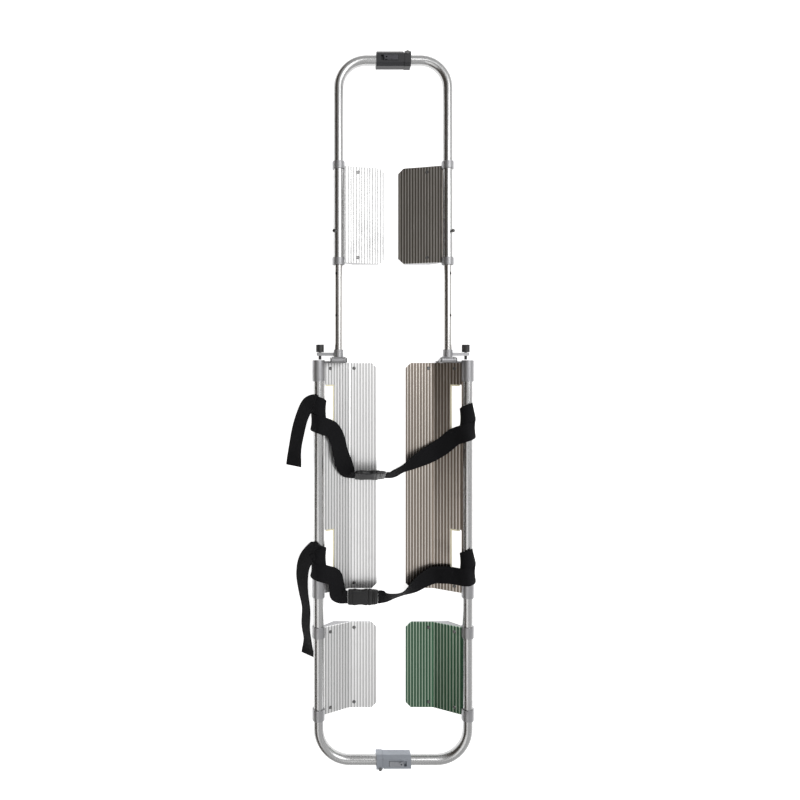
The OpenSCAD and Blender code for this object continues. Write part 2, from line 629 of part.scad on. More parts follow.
mirrored() rail();  // left_rail
rail();  // right_rail
mirrored() torso_panel();  // left_torso_panel
torso_panel();  // right_torso_panel
mirrored() head_panel();  // left_head_panel
head_panel();  // right_head_panel
mirrored() hinge_bracket();  // left_hinge_bracket
hinge_bracket();  // right_hinge_bracket
mirrored() rail_bracket(torso_bottom, -1, torso_collar, torso_rivets);  // left_torso_bracket
rail_bracket(torso_bottom, -1, torso_collar, torso_rivets);  // right_torso_bracket
mirrored() rail_bracket(head_panel_top, 1, head_collar, head_rivets);  // left_head_bracket_upper
rail_bracket(head_panel_top, 1, head_collar, head_rivets);  // right_head_bracket_upper
mirrored() rail_bracket(head_panel_bottom, -1, head_collar, head_rivets);  // left_head_bracket_lower
rail_bracket(head_panel_bottom, -1, head_collar, head_rivets);  // right_head_bracket_lower
mirrored() rivets();  // left_rivets
rivets();  // right_rivets
mirrored() grip(grip_upper_y);  // left_grip_upper
grip(grip_upper_y);  // right_grip_upper
mirrored() grip(grip_lower_y);  // left_grip_lower
grip(grip_lower_y);  // right_grip_lower
mirrored() hinge_pin();  // left_hinge_pin
hinge_pin();  // right_hinge_pin
mirrored() leg_tube();  // left_leg_tube
leg_tube();  // right_leg_tube
mirrored() hinge_arm();  // left_hinge_arm
hinge_arm();  // right_hinge_arm
mirrored() lock_knob();  // left_lock_knob
lock_knob();  // right_lock_knob
mirrored() foot_tube();  // left_foot_tube
foot_tube();  // right_foot_tube
mirrored() foot_panel();  // left_foot_panel
foot_panel();  // right_foot_panel
mirrored() foot_bracket(foot_panel_top, 1);  // left_foot_bracket_upper
foot_bracket(foot_panel_top, 1);  // right_foot_bracket_upper
mirrored() foot_bracket(foot_panel_bottom, -1);  // left_foot_bracket_lower
foot_bracket(foot_panel_bottom, -1);  // right_foot_bracket_lower
mirrored() foot_rivets();  // left_foot_rivets
foot_rivets();  // right_foot_rivets
mirrored() button();  // left_button
button();  // right_button
at_head() color("gray") coupler_body(rail_bore_r);  // head_coupler_body
at_head() color("gray") coupler_fork(rail_bore_r);  // head_coupler_fork
at_head() color("silver") coupler_tongue();  // head_coupler_tongue
at_head() color("silver") coupler_pin();  // head_coupler_pin
at_head() color("lightgray") coupler_latch();  // head_latch
at_foot() color("darkslategray") coupler_body(foot_bore_r);  // foot_coupler_body
at_foot() color("darkslategray") coupler_fork(foot_bore_r);  // foot_coupler_fork
at_foot() color("silver") coupler_tongue();  // foot_coupler_tongue
at_foot() color("silver") coupler_pin();  // foot_coupler_pin
at_foot() color("gray") coupler_latch();  // foot_latch
mirrored() upper_left_strap();  // upper_strap_left
upper_right_strap();  // upper_strap_right
at_buckle(upper_buckle, 60) buckle_socket();  // upper_buckle_socket
at_buckle(upper_buckle, 60) buckle_plug();  // upper_buckle_plug
mirrored() lower_left_strap();  // lower_strap_left
lower_right_strap();  // lower_strap_right
at_buckle(lower_buckle, 25) buckle_socket();  // lower_buckle_socket
at_buckle(lower_buckle, 25) buckle_plug();  // lower_buckle_plug
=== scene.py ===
# %% [markdown]
# # A folding scoop stretcher
# The aluminium frame, its panels, brackets, couplers and joints come ready made as a fixed
# frame. This lesson gives every metal and plastic part its finish, weaves the two straps,
# moulds their buckles, and sets up a pale floor, soft light and a camera overhead.

# %% Load the frame
import math
import bpy
import numpy as np
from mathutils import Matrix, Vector


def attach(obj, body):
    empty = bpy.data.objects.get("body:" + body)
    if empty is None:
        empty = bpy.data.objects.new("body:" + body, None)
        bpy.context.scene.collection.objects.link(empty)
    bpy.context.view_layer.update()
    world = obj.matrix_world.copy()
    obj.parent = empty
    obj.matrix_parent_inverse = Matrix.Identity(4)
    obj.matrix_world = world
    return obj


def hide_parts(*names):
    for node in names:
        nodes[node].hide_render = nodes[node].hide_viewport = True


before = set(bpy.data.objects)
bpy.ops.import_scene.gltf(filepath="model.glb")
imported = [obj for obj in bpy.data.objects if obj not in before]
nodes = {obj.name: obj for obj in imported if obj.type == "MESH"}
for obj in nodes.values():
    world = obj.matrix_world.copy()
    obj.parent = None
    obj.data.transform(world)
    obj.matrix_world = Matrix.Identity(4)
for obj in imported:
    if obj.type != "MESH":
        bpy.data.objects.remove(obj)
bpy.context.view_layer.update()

# %% [markdown]
# ## Camera
# The stretcher is seen from above, with its foot end at the top of the picture. A camera
# that looks straight down keeps the tubes parallel. It stands a little to the left of the
# middle and nearer the foot end, so both rails show their inner sides unequally. A small
# lens shift then brings the stretcher back into the frame.

# %% Camera
MM = 0.001
FRAME_WIDTH = 2.2
CAMERA_AT = (-0.20, 0.15, 1.80)
FRAME_CENTRE = (0.019, 0.0275)
TUBE_PLANE = 0.052


def make_camera():
    """A shifted lens: shift = (frame centre - camera) / frame width, in frame widths."""
    data = bpy.data.cameras.new("overhead")
    camera = bpy.data.objects.new("overhead", data)
    bpy.context.collection.objects.link(camera)
    camera.location = CAMERA_AT
    data.sensor_width = 36
    data.lens = 36 * (CAMERA_AT[2] - TUBE_PLANE) / FRAME_WIDTH
    data.shift_x = (FRAME_CENTRE[0] - CAMERA_AT[0]) / FRAME_WIDTH
    data.shift_y = (FRAME_CENTRE[1] - CAMERA_AT[1]) / FRAME_WIDTH
    bpy.context.scene.camera = camera
    return camera


camera = make_camera()
print("lens", round(camera.data.lens, 1), "mm")

# %% [markdown]
# ## Floor and light
# A very large pale floor fills the picture. Two wide area lamps give soft light. Bare
# aluminium is only as good as what it reflects, so the world has a dark warm wall on the
# left, which the camera itself never sees. The Standard view transform shows the floor as
# plain white and keeps the black straps black.

# %% Node helpers
def add_node(tree, kind, **values):
    """Adds one node and sets its properties or its input sockets by name."""
    node = tree.nodes.new(kind)
    for key, value in values.items():
        if key in node.inputs:
            node.inputs[key].default_value = value
        else:
            setattr(node, key, value)
    return node


def join(tree, source, output, target, socket):
    """Links output of source to socket of target, both by name or number."""
    tree.links.new(source.outputs[output], target.inputs[socket])


def colour_ramp(tree, stops):
    """A ramp with (position, colour) stops."""
    ramp = tree.nodes.new("ShaderNodeValToRGB")
    elements = ramp.color_ramp.elements
    while len(elements) < len(stops):
        elements.new(0.5)
    for element, (position, colour) in zip(elements, stops):
        element.position = position
        element.color = (*colour, 1)
    return ramp


# %% Surfaces from numpy grids
def grid_faces(rows, columns, close_rows=False, close_columns=False):
    """Quads of a grid: each takes a point, its right neighbour and the two in the next row."""
    r = np.arange(rows if close_rows else rows - 1)
    c = np.arange(columns if close_columns else columns - 1)
    r, c = np.meshgrid(r, c, indexing="ij")
    rn, cn = (r + 1) % rows, (c + 1) % columns
    quads = np.stack([r * columns + c, r * columns + cn, rn * columns + cn, rn * columns + c], -1)
    return quads.reshape(-1, 4)


def make_piece(name, points, faces, body, material, uv=None):
    """Puts points and faces into a mesh piece that rides on a body and takes a material."""
    mesh = bpy.data.meshes.new(name)
    mesh.from_pydata(points.tolist(), [], [list(map(int, f)) for f in faces])
    mesh.update()
    if uv is not None:
        layer = mesh.uv_layers.new(name="weave")
        loops = np.empty(len(mesh.loops), dtype=np.int32)
        mesh.loops.foreach_get("vertex_index", loops)
        layer.data.foreach_set("uv", uv[loops].astype(np.float32).ravel())
    mesh.polygons.foreach_set("use_smooth", np.ones(len(mesh.polygons), dtype=bool))
    piece = bpy.data.objects.new(name, mesh)
    bpy.context.collection.objects.link(piece)
    piece.data.materials.append(material)
    if body:
        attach(piece, body)
    return piece


# %% Floor
def plain_material(name, colour, roughness):
    """A plain surface with a faint noise in its colour."""
    material = bpy.data.materials.new(name)
    material.use_nodes = True
    tree = material.node_tree
    shader = tree.nodes["Principled BSDF"]
    coordinates = add_node(tree, "ShaderNodeTexCoord")
    noise = add_node(tree, "ShaderNodeTexNoise", Scale=3.0, Detail=3.0)
    ramp = colour_ramp(tree, [(0.3, [c * 0.985 for c in colour]), (0.7, colour)])
    join(tree, coordinates, "Object", noise, "Vector")
    join(tree, noise, "Fac", ramp, "Fac")
    join(tree, ramp, "Color", shader, "Base Color")
    shader.inputs["Roughness"].default_value = roughness
    return material


FLOOR_HALF, FLOOR_Z, FLOOR_GLOW = 12, -0.0006, 0.75


def make_floor():
    """A flat grid far wider than the view, a hair below the stretcher so they never touch."""
    line = np.linspace(-FLOOR_HALF, FLOOR_HALF, 5)
    x, y = np.meshgrid(line, line)
    points = np.stack([x, y, np.full_like(x, FLOOR_Z)], -1).reshape(-1, 3)
    floor = make_piece("floor", points, grid_faces(5, 5), None,
                       plain_material("floor_pale", (0.96, 0.96, 0.96), 0.95))
    glow = floor.data.materials[0].node_tree.nodes["Principled BSDF"]
    glow.inputs["Emission Color"].default_value = (1, 1, 1, 1)
    glow.inputs["Emission Strength"].default_value = FLOOR_GLOW
    return floor


floor = make_floor()


# %% World and lamps
SKY_SEEN, SKY_LIGHT = 1.1, 0.72


def make_world():
    """Direction decides the colour: a dark warm patch to the left, and pale all round."""
    world = bpy.data.worlds.new("studio")
    bpy.context.scene.world = world
    bpy.context.scene.view_settings.view_transform = "Standard"
    world.use_nodes = True
    tree = world.node_tree
    tree.nodes.clear()
    out = add_node(tree, "ShaderNodeOutputWorld")
    pale = add_node(tree, "ShaderNodeBackground", Color=(1, 1, 1, 1), Strength=SKY_SEEN)
    room = add_node(tree, "ShaderNodeBackground", Strength=SKY_LIGHT)
    path = add_node(tree, "ShaderNodeLightPath")
    mix = add_node(tree, "ShaderNodeMixShader")
    coordinates = add_node(tree, "ShaderNodeTexCoord")
    split = add_node(tree, "ShaderNodeSeparateXYZ")
    left = colour_ramp(tree, [(0.16, (0.10, 0.085, 0.07)), (0.30, (0.16, 0.14, 0.12)),
                              (0.42, (0.82, 0.82, 0.82)), (1.0, (1.0, 1.0, 1.0))])
    half = add_node(tree, "ShaderNodeMath", operation="MULTIPLY_ADD")
    half.inputs[1].default_value = 0.5
    half.inputs[2].default_value = 0.5
    join(tree, coordinates, "Generated", split, "Vector")
    join(tree, split, "X", half, 0)
    join(tree, half, "Value", left, "Fac")
    join(tree, left, "Color", room, "Color")
    join(tree, path, "Is Camera Ray", mix, 0)
    join(tree, room, "Background", mix, 1)
    join(tree, pale, "Background", mix, 2)
    join(tree, mix, "Shader", out, "Surface")


def make_lamp(name, place, size, power, aim=(0, 0, 0)):
    """A square area lamp at a place, turned to face the aim point."""
    data = bpy.data.lights.new(name, "AREA")
    data.size = size
    data.energy = power
    lamp = bpy.data.objects.new(name, data)
    bpy.context.collection.objects.link(lamp)
    lamp.location = place
    lamp.rotation_euler = (Vector(aim) - Vector(place)).to_track_quat("-Z", "Y").to_euler()
    return lamp


make_world()
make_lamp("key", (1.6, 1.2, 3.2), 2.2, 46)
make_lamp("fill", (-1.4, -1.6, 3.4), 2.6, 24)

# %% [markdown]
# ## Shared finish: drawn metal
# Extruded aluminium carries fine lines along its length, and small scuffs from handling.
# One node group holds that grain. It gives a colour, a roughness and a height, and each
# metal places it with its own two colours and its own stretch.

# %% Drawn metal group
def make_grain_group():
    """Stretched noise for the drawn lines, plus a broad noise for dull patches and scuffs."""
    group = bpy.data.node_groups.new("drawn_grain", "ShaderNodeTree")
    face = group.interface
    for name, kind in (("Light", "NodeSocketColor"), ("Dark", "NodeSocketColor"),
                       ("Stretch", "NodeSocketVector"), ("Rough", "NodeSocketFloat"),
                       ("Scuff", "NodeSocketFloat")):
        face.new_socket(name, in_out="INPUT", socket_type=kind)
    for name, kind in (("Color", "NodeSocketColor"), ("Roughness", "NodeSocketFloat"),
                       ("Height", "NodeSocketFloat")):
        face.new_socket(name, in_out="OUTPUT", socket_type=kind)
    put = add_node(group, "NodeGroupInput")
    out = add_node(group, "NodeGroupOutput")
    coordinates = add_node(group, "ShaderNodeTexCoord")
    scale = add_node(group, "ShaderNodeVectorMath", operation="MULTIPLY")
    lines = add_node(group, "ShaderNodeTexNoise", Scale=1.0, Detail=4.0, Roughness=0.6)
    broad = add_node(group, "ShaderNodeTexNoise", Scale=14.0, Detail=5.0, Roughness=0.65)
    patch = add_node(group, "ShaderNodeMapRange")
    patch.inputs["From Min"].default_value = 0.52
    patch.inputs["From Max"].default_value = 0.72
    worn = add_node(group, "ShaderNodeMath", operation="MULTIPLY")
    blend = add_node(group, "ShaderNodeMath", operation="MULTIPLY_ADD")
    blend.inputs[1].default_value = 0.6
    tone = add_node(group, "ShaderNodeMix", data_type="RGBA")
    rough = add_node(group, "ShaderNodeMath", operation="MULTIPLY_ADD")
    rough.inputs[1].default_value = 0.22
    join(group, coordinates, "Object", scale, 0)
    join(group, put, "Stretch", scale, 1)
    join(group, scale, "Vector", lines, "Vector")
    join(group, coordinates, "Object", broad, "Vector")
    join(group, broad, "Fac", patch, "Value")
    join(group, patch, "Result", worn, 0)
    join(group, put, "Scuff", worn, 1)
    join(group, lines, "Fac", blend, 0)
    join(group, worn, "Value", blend, 2)
    join(group, blend, "Value", tone, 0)
    group.links.new(put.outputs["Light"], tone.inputs[6])
    group.links.new(put.outputs["Dark"], tone.inputs[7])
    join(group, blend, "Value", rough, 0)
    join(group, put, "Rough", rough, 2)
    group.links.new(tone.outputs[2], out.inputs["Color"])
    join(group, rough, "Value", out, "Roughness")
    join(group, lines, "Fac", out, "Height")
    return group


grain_group = make_grain_group()


def grained(name, light, dark, stretch, rough, metallic=1.0, scuff=0.35, bump=0.12, coat=0.0):
    """A Principled surface whose colour, roughness and bump come from the grain group."""
    material = bpy.data.materials.new(name)
    material.use_nodes = True
    tree = material.node_tree
    shader = tree.nodes["Principled BSDF"]
    grain = add_node(tree, "ShaderNodeGroup")
    grain.node_tree = grain_group
    grain.inputs["Light"].default_value = (*light, 1)
    grain.inputs["Dark"].default_value = (*dark, 1)
    grain.inputs["Stretch"].default_value = stretch
    grain.inputs["Rough"].default_value = rough
    grain.inputs["Scuff"].default_value = scuff
    relief = add_node(tree, "ShaderNodeBump", Strength=bump, Distance=0.0004)
    join(tree, grain, "Color", shader, "Base Color")
    join(tree, grain, "Roughness", shader, "Roughness")
    join(tree, grain, "Height", relief, "Height")
    join(tree, relief, "Normal", shader, "Normal")
    shader.inputs["Metallic"].default_value = metallic
    shader.inputs["Coat Weight"].default_value = coat
    return material


# %% [markdown]
# ## Shared finish: ribs
# The panels are rolled with low ribs along their length. The metal shows them as fine light
# and dark lines, and these are painted light: a line of painted shade on each rib of the
# pale panels, and a painted highlight on each rib of the darker ones. The lines must sit on the
# ribs, so a second node group counts ribs from the tube inwards. The slope and the flat part
# of a panel have their own starting line and pitch, and they change over at the fold.

# %% Rib line group
RIB_SOCKETS = ("Fold", "Slope Start", "Slope Pitch", "Flat Start", "Flat Pitch")


def make_rib_group():
    """Rib number = (start - |x|) / pitch; the mask is 1 where its fraction is near a half."""
    group = bpy.data.node_groups.new("rib_lines", "ShaderNodeTree")
    face = group.interface
    for name in RIB_SOCKETS:
        face.new_socket(name, in_out="INPUT", socket_type="NodeSocketFloat")
    face.new_socket("Mask", in_out="OUTPUT", socket_type="NodeSocketFloat")
    put = add_node(group, "NodeGroupInput")
    out = add_node(group, "NodeGroupOutput")
    coordinates = add_node(group, "ShaderNodeTexCoord")
    split = add_node(group, "ShaderNodeSeparateXYZ")
    across = add_node(group, "ShaderNodeMath", operation="ABSOLUTE")
    join(group, coordinates, "Object", split, "Vector")
    join(group, split, "X", across, 0)
    on_slope = add_node(group, "ShaderNodeMath", operation="GREATER_THAN")
    join(group, across, "Value", on_slope, 0)
    join(group, put, "Fold", on_slope, 1)
    masks = []
    for part in ("Flat", "Slope"):
        distance = add_node(group, "ShaderNodeMath", operation="SUBTRACT")
        count = add_node(group, "ShaderNodeMath", operation="DIVIDE")
        fraction = add_node(group, "ShaderNodeMath", operation="FRACT")
        middle = add_node(group, "ShaderNodeMath", operation="SUBTRACT")
        middle.inputs[1].default_value = 0.5
        away = add_node(group, "ShaderNodeMath", operation="ABSOLUTE")
        edge = add_node(group, "ShaderNodeMapRange")
        edge.inputs["From Min"].default_value = 0.24
        edge.inputs["From Max"].default_value = 0.14
        join(group, put, part + " Start", distance, 0)
        join(group, across, "Value", distance, 1)
        join(group, distance, "Value", count, 0)
        join(group, put, part + " Pitch", count, 1)
        join(group, count, "Value", fraction, 0)
        join(group, fraction, "Value", middle, 0)
        join(group, middle, "Value", away, 0)
        join(group, away, "Value", edge, "Value")
        masks.append(edge)
    choose = add_node(group, "ShaderNodeMix", data_type="FLOAT")
    join(group, on_slope, "Value", choose, 0)
    join(group, masks[0], "Result", choose, 2)
    join(group, masks[1], "Result", choose, 3)
    join(group, choose, 0, out, "Mask")
    return group


rib_group = make_rib_group()
ALONG = (900.0, 14.0, 900.0)
TORSO_RIBS = (0.1167, 0.18859, 0.007954, 0.1165, 0.008278)
FOOT_RIBS = (0.0, 0.13359, 0.007606, 0.1336, 0.007606)


def ribbed(name, valley, valley_dark, top, ribs, rough):
    """Grained metal whose colour turns to the painted rib-line colour on the rib mask: painted shade
    on pale panels, a painted highlight on dark ones.
    """
    material = grained(name, valley, valley_dark, ALONG, rough)
    tree = material.node_tree
    shader = tree.nodes["Principled BSDF"]
    grain = next(n for n in tree.nodes if n.type == "GROUP")
    lines = add_node(tree, "ShaderNodeGroup")
    lines.node_tree = rib_group
    for socket, value in zip(RIB_SOCKETS, ribs):
        lines.inputs[socket].default_value = value
    # On the rib mask the colour turns to the given rib line: painted shade on pale panels, a painted
    # highlight on dark ones
    tone = add_node(tree, "ShaderNodeMix", data_type="RGBA")
    tone.inputs[7].default_value = (*top, 1)
    join(tree, lines, "Mask", tone, 0)
    tree.links.new(grain.outputs["Color"], tone.inputs[6])
    tree.links.new(tone.outputs[2], shader.inputs["Base Color"])
    return material


# %% [markdown]
# ## Metal and plastic finishes
# The tubes are satin aluminium with lines round the bends lost in the polish. The panels
# are ribbed sheet, so their lines run lengthwise. The left panels are pale aluminium. The
# right ones are a darker copy of it with painted shade and a painted warm reflection, and a
# painted green reflection on the one at the head. Castings are
# painted grey: light on the head coupler, dark on the foot coupler.

# %% Finishes
CAST = (420.0, 420.0, 420.0)
DRAWN = (500, 14, 500)


def grey(value):
    """One value for red, green and blue."""
    return (value, value, value)


finishes = {
    "rail": grained("rail_aluminium", grey(0.56), grey(0.38), DRAWN, 0.20, bump=0.004, scuff=0.2),
    "leg": grained("leg_aluminium", (0.62, 0.61, 0.60), (0.42, 0.41, 0.40), DRAWN, 0.15,
                   bump=0.004, scuff=0.2),
    # The last colour of each panel finish is its painted rib line: painted shade on the pale panels,
    # a painted highlight on the darker ones
    "pale_torso": ribbed("panel_pale", grey(0.96), grey(0.86), grey(0.50), TORSO_RIBS, 0.34),
    "pale_foot": ribbed("foot_panel_pale", grey(0.74), grey(0.62), grey(0.34), FOOT_RIBS, 0.34),
    # The right panels' darker, tinted colours are painted shade with a painted brown reflection, and
    # a painted green reflection on the head panel
    "shade_brown_reflection_torso": ribbed("panel_shade_brown_reflection", (0.24, 0.20, 0.165), (0.16, 0.13, 0.11),
                         (0.74, 0.69, 0.64), TORSO_RIBS, 0.24),
    "shade_brown_reflection_foot": ribbed("foot_panel_shade_brown_reflection", (0.17, 0.155, 0.14), (0.11, 0.10, 0.09),
                        (0.56, 0.54, 0.51), FOOT_RIBS, 0.24),
    "shade_green_reflection_head": ribbed("panel_shade_green_reflection", (0.055, 0.125, 0.075), (0.035, 0.085, 0.05),
                         (0.40, 0.50, 0.40), TORSO_RIBS, 0.26),
    "bracket": grained("bracket_cast", (0.42, 0.42, 0.43), (0.28, 0.28, 0.29), CAST, 0.34, 0.85),
    "steel": grained("fixing_steel", grey(0.22), grey(0.10), CAST, 0.26),
    "liner": grained("liner_plastic", (0.88, 0.83, 0.62), (0.78, 0.72, 0.50), CAST, 0.40, 0.0, 0.2),
    "knob": grained("knob_metal", grey(0.06), grey(0.02), CAST, 0.26, 0.4),
    "head_cast": grained("head_coupler_paint", (0.34, 0.36, 0.40), (0.22, 0.24, 0.27), CAST,
                         0.34, 0.5, coat=0.2),
    "foot_cast": grained("foot_coupler_paint", (0.03, 0.031, 0.034), (0.014, 0.014, 0.017), CAST,
                         0.36, 0.1),
    "latch": grained("latch_metal", (0.42, 0.43, 0.46), (0.26, 0.27, 0.29), CAST, 0.28),
    "foot_latch": grained("foot_latch_metal", (0.10, 0.10, 0.11), (0.05, 0.05, 0.055), CAST, 0.28),
    "buckle": grained("buckle_nylon", (0.004, 0.004, 0.005), (0.010, 0.010, 0.011), CAST, 0.34, 0.0),
}


def finish_of(name):
    """Chooses a finish from what the node is."""
    if name.endswith("panel"):
        part = "foot" if "foot" in name else "torso"
        if name.startswith("left"):
            return "pale_" + part
        # Right-hand panels take the copies with painted shade and painted reflections
        return "shade_green_reflection_head" if "head" in name else "shade_brown_reflection_" + part
    rules = (("foot_latch", "foot_latch"), ("latch", "latch"),
             ("coupler_pin", "steel"), ("tongue", "steel"),
             ("head_coupler", "head_cast"), ("foot_coupler", "foot_cast"), ("leg_tube", "leg"),
             ("rivets", "steel"), ("hinge_pin", "steel"), ("grip", "liner"), ("knob", "knob"),
             ("button", "steel"), ("bracket", "bracket"), ("arm", "bracket"), ("buckle", "buckle"),
             ("strap", "buckle"), ("rail", "rail"), ("tube", "rail"))
    return next(finish for word, finish in rules if word in name)


for name, node in nodes.items():
    node.data.materials.clear()
    node.data.materials.append(finishes[finish_of(name)])
print("finishes:", len(finishes))

# %% [markdown]
# ## Webbing
# A strap is flat woven tape, 50 mm wide. It is made as one profile carried along a route:
# at each station of a smooth curve the tape's width direction follows the surface normal
# that the route gives, so the tape turns over by itself where the normals turn.

# %% Webbing material
def make_webbing():
    """Yarns from two sine waves on the tape's own length and width, in metres."""
    material = bpy.data.materials.new("black_webbing")
    material.use_nodes = True
    tree = material.node_tree
    shader = tree.nodes["Principled BSDF"]
    coordinates = add_node(tree, "ShaderNodeUVMap", uv_map="weave")
    across = add_node(tree, "ShaderNodeTexWave", bands_direction="X", Scale=150.0, Distortion=0.6)
    along = add_node(tree, "ShaderNodeTexWave", bands_direction="Y", Scale=110.0, Distortion=0.8)
    both = add_node(tree, "ShaderNodeMath", operation="MULTIPLY")
    fuzz = add_node(tree, "ShaderNodeTexNoise", Scale=900.0, Detail=3.0)
    total = add_node(tree, "ShaderNodeMath", operation="MULTIPLY_ADD")
    total.inputs[1].default_value = 0.35
    ramp = colour_ramp(tree, [(0.1, (0.0025, 0.0025, 0.003)), (0.9, (0.016, 0.016, 0.018))])
    relief = add_node(tree, "ShaderNodeBump", Strength=0.55, Distance=0.0005)
    for wave in (across, along, fuzz):
        join(tree, coordinates, "UV", wave, "Vector")
    join(tree, across, "Fac", both, 0)
    join(tree, along, "Fac", both, 1)
    join(tree, fuzz, "Fac", total, 0)
    join(tree, both, "Value", total, 2)
    join(tree, total, "Value", ramp, "Fac")
    join(tree, ramp, "Color", shader, "Base Color")
    join(tree, total, "Value", relief, "Height")
    join(tree, relief, "Normal", shader, "Normal")
    shader.inputs["Roughness"].default_value = 0.8
    shader.inputs["Specular IOR Level"].default_value = 0.12
    return material


webbing = make_webbing()

# %% Strap routes
RAIL_X = 205.0
TUBE_Z = 52.0
LIP_R = 17.0
STRAP_R = LIP_R + 0.9 + 0.9  # air under the tape, then half its thickness
HOLE_UPPER, HOLE_LOWER = 6.0, -395.0
FOLD_X, FLAT_Z = 117.0, 6.8
SLOPE = (44.32 - FLAT_Z) / (188.6 - FOLD_X)
TILT = (-math.sin(math.atan(SLOPE)), 0.0, math.cos(math.atan(SLOPE)))


def panel_z(x):
    """Height of the panel: flat inside the fold line, then a straight slope."""
    return FLAT_Z + max(0.0, x - FOLD_X) * SLOPE


def turn(a0, a1, y0, y1, steps=15):
    """One helical turn round the rail, as x, y, z and an outward normal."""
    f = np.linspace(0, 1, steps + 1)
    a = np.radians(a0 + (a1 - a0) * f)
    c, s, o = np.cos(a), np.sin(a), np.zeros_like(a)
    x, y, z = RAIL_X + STRAP_R * c, y0 + (y1 - y0) * f, TUBE_Z + STRAP_R * s
    return np.stack([x, y, z, c, o, s], -1).tolist()


def leave_rail(y):
    """From the top of the rail down towards the panel."""
    top = TUBE_Z + STRAP_R
    return [[RAIL_X - 2, y - 4, top + 2.2, -0.2, 0, 1],
            [RAIL_X - 18, y - 10, top - 4, -0.5, 0, 0.9],
            [RAIL_X - 38, y - 22, panel_z(RAIL_X - 38) + 14, TILT[0], 0, TILT[2]]]


def above_panel(x, y, lift):
    """A point held a little over the panel, with the panel's own normal."""
    n = TILT if x > FOLD_X else (0, 0, 1)
    return [x, y, panel_z(x) + lift, *n]


def upper_left_route():
    """Loose tail, a turn round the rail, then down to the buckle."""
    y = HOLE_UPPER + 14
    return ([[RAIL_X + 70, y - 180, 14, 0.4, 0, 0.9], [RAIL_X + 66, y - 130, 20, 0.65, 0, 0.75],
             [RAIL_X + 57, y - 80, 24, 0.65, 0, 0.75], [RAIL_X + 46, y - 40, 34, 0.7, 0, 0.7],
             [RAIL_X + 32, y - 10, 50, 0.7, 0, 0.7]] + turn(40, 400, y, y - 54) + leave_rail(y - 54)
            + [above_panel(RAIL_X - 52, y - 102, 12), above_panel(RAIL_X - 62, y - 142, 17),
               [RAIL_X - 74, y - 180, 38.7, 0, -0.5, 0.8], [RAIL_X - 85, y - 200, 37, 0, -0.87, 0.5],
               [RAIL_X - 93, y - 202, 37, 0, -0.87, 0.5],
               [RAIL_X - 101, y - 202, 37, 0, -0.87, 0.5]])


def upper_right_route():
    """A turn round the rail, over the panel, and edge-on across the middle."""
    y = HOLE_UPPER - 6
    return (turn(40, 400, y, y - 54) + leave_rail(y - 54)
            + [above_panel(RAIL_X - 62, y - 100, 12), above_panel(RAIL_X - 95, y - 124, 15),
               [RAIL_X - 135, y - 143, 31, -0.1, -0.5, 0.85],
               [RAIL_X - 175, y - 164, 37, -0.1, -0.8, 0.5],
               [RAIL_X - 205, y - 180, 37, -0.1, -0.85, 0.5],
               [RAIL_X - 219, y - 182, 37, 0, -0.87, 0.5],
               [RAIL_X - 224, y - 182, 37, 0, -0.87, 0.5]])


def lower_left_route():
    """A long loose tail on its edge, a turn round the rail, then a short run to the buckle."""
    y = HOLE_LOWER + 12
    top = TUBE_Z + STRAP_R
    return ([[RAIL_X + 29, y - 306, 18, 0.6, 0, 0.8], [RAIL_X + 30, y - 268, 23, 0.85, 0, 0.5],
             [RAIL_X + 36, y - 225, 23, 0.85, 0, 0.5], [RAIL_X + 35, y - 175, 23, 0.85, 0, 0.5],
             [RAIL_X + 43, y - 125, 23, 0.8, 0, 0.6], [RAIL_X + 46, y - 80, 26, 0.7, 0, 0.7],
             [RAIL_X + 38, y - 36, 40, 0.7, 0, 0.7]] + turn(40, 400, y, y - 54)
            + [[RAIL_X - 2, y - 57, top + 2.2, -0.2, 0, 1],
               [RAIL_X - 20, y - 63, top - 2, -0.4, 0, 0.92],
               [RAIL_X - 43, y - 78, panel_z(RAIL_X - 43) + 19, TILT[0], 0, TILT[2]],
               above_panel(RAIL_X - 50, y - 102, 20), [RAIL_X - 53, y - 124, 42, -0.35, -0.3, 0.9],
               [RAIL_X - 63, y - 137.4, 35.6, -0.1, -0.42, 0.9],
               [RAIL_X - 72, y - 138, 34, 0, -0.42, 0.9],
               [RAIL_X - 81, y - 138, 34, 0, -0.42, 0.9]])


def lower_right_route():
    """A turn round the rail, over the panel, and twisting across the middle."""
    y = HOLE_LOWER - 2
    top = TUBE_Z + STRAP_R
    return (turn(40, 400, y, y - 54)
            + [[RAIL_X - 2, y - 56, top + 2.2, -0.2, 0, 1],
               [RAIL_X - 18, y - 58, top - 4, -0.5, 0, 0.9],
               [RAIL_X - 38, y - 60, panel_z(RAIL_X - 38) + 16, TILT[0], 0, TILT[2]],
               above_panel(RAIL_X - 62, y - 62, 16), above_panel(RAIL_X - 90, y - 68, 16),
               [RAIL_X - 118, y - 80, 28, 0, -0.3, 0.9], [RAIL_X - 145, y - 98, 32, 0, -0.6, 0.8],
               [RAIL_X - 175, y - 114, 36, 0, -0.85, 0.5],
               [RAIL_X - 205, y - 122, 36, 0, -0.8, 0.6],
               [RAIL_X - 224, y - 125, 34, 0, -0.6, 0.8],
               [RAIL_X - 236, y - 124, 34, 0, -0.42, 0.9],
               [RAIL_X - 244.5, y - 124, 34, 0, -0.42, 0.9]])


# %% Carry the tape along a route
TAPE_WIDTH, TAPE_THICK = 48.0, 1.7


